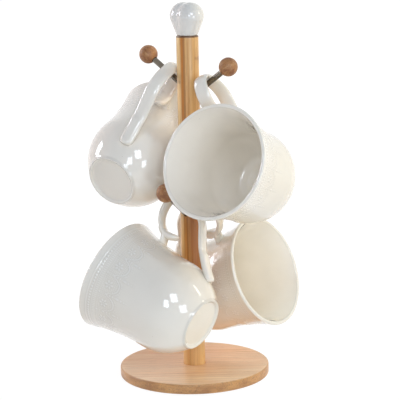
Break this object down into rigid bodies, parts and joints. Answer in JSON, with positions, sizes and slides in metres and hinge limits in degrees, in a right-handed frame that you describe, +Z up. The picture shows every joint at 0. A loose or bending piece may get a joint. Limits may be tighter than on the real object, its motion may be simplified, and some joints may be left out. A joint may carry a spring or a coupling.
{
  "type": "mug tree",
  "caption": "Bamboo mug tree on a round foot, with slanted metal pegs ending in wooden balls, a heart-shaped ceramic knob, and bell-shaped ceramic mugs hung by their handles.",
  "frame": {"origin": "centre of the foot on the worktop, on the axis of the post", "axes": "+Z up along the post; the front is -Y, and the upper pegs point to the left rear and the right front"},
  "size_m": [0.1916, 0.1916, 0.3246],
  "materials": {
    "bamboo": "laminated bamboo, clear satin lacquer",
    "stained_wood": "turned wood, brown stain",
    "ceramic": "off-white gloss glaze",
    "gunmetal": "dark nickel plate, polished",
    "zinc": "zinc plated",
    "rubber": "matt"
  },
  "bodies": {
    "stand": {"base_disc": "bamboo", "foot_pad_1": "rubber", "foot_pad_2": "rubber", "foot_pad_3": "rubber", "foot_pad_4": "rubber", "post": "bamboo", "base_screw": "zinc", "knob": "ceramic", "knob_dowel": "bamboo"},
    "peg_upper_left": {"peg_rod_upper_left": "gunmetal", "peg_ball_upper_left": "stained_wood"},
    "mug_upper_left_body": {"mug_upper_left": "ceramic"},
    "peg_upper_right": {"peg_rod_upper_right": "gunmetal", "peg_ball_upper_right": "stained_wood"},
    "mug_upper_right_body": {"mug_upper_right": "ceramic"},
    "peg_lower_front": {"peg_rod_lower_front": "gunmetal", "peg_ball_lower_front": "stained_wood"},
    "mug_lower_front_body": {"mug_lower_front": "ceramic"},
    "peg_lower_back": {"peg_rod_lower_back": "gunmetal", "peg_ball_lower_back": "stained_wood"},
    "mug_lower_back_body": {"mug_lower_back": "ceramic"}
  },
  "joints": [
    {"name": "upper_left_swing", "type": "hinge", "parent": "stand", "child": "peg_upper_left", "pos_m": [0, 0, 0.2504], "axis": [-0.6843, 0.4276, 0.5906], "range_deg": [-15, 15]},
    {"name": "upper_right_swing", "type": "hinge", "parent": "stand", "child": "peg_upper_right", "pos_m": [0, 0, 0.2422], "axis": [0.6843, -0.4276, 0.5906], "range_deg": [-15, 15]},
    {"name": "lower_front_swing", "type": "hinge", "parent": "stand", "child": "peg_lower_front", "pos_m": [0, 0, 0.1386], "axis": [-0.4276, -0.6843, 0.5906], "range_deg": [-15, 15]},
    {"name": "lower_back_swing", "type": "hinge", "parent": "stand", "child": "peg_lower_back", "pos_m": [0, 0, 0.1304], "axis": [0.4276, 0.6843, 0.5906], "range_deg": [-15, 15]},
    {"name": "upper_left_lift_off", "type": "slide", "parent": "peg_upper_left", "child": "mug_upper_left_body", "axis": [-0.4864, 0.3039, 0.8192], "range_m": [0, 0.05]},
    {"name": "upper_right_lift_off", "type": "slide", "parent": "peg_upper_right", "child": "mug_upper_right_body", "axis": [0.4864, -0.3039, 0.8192], "range_m": [0, 0.05]},
    {"name": "lower_front_lift_off", "type": "slide", "parent": "peg_lower_front", "child": "mug_lower_front_body", "axis": [-0.3039, -0.4864, 0.8192], "range_m": [0, 0.05]},
    {"name": "lower_back_lift_off", "type": "slide", "parent": "peg_lower_back", "child": "mug_lower_back_body", "axis": [0.3039, 0.4864, 0.8192], "range_m": [0, 0.05]}
  ],
  "couplings": [
    {"joint": "lower_front_lift_off", "follows": "upper_right_lift_off", "ratio": 1},
    {"joint": "lower_back_lift_off", "follows": "upper_left_lift_off", "ratio": 1}
  ]
}
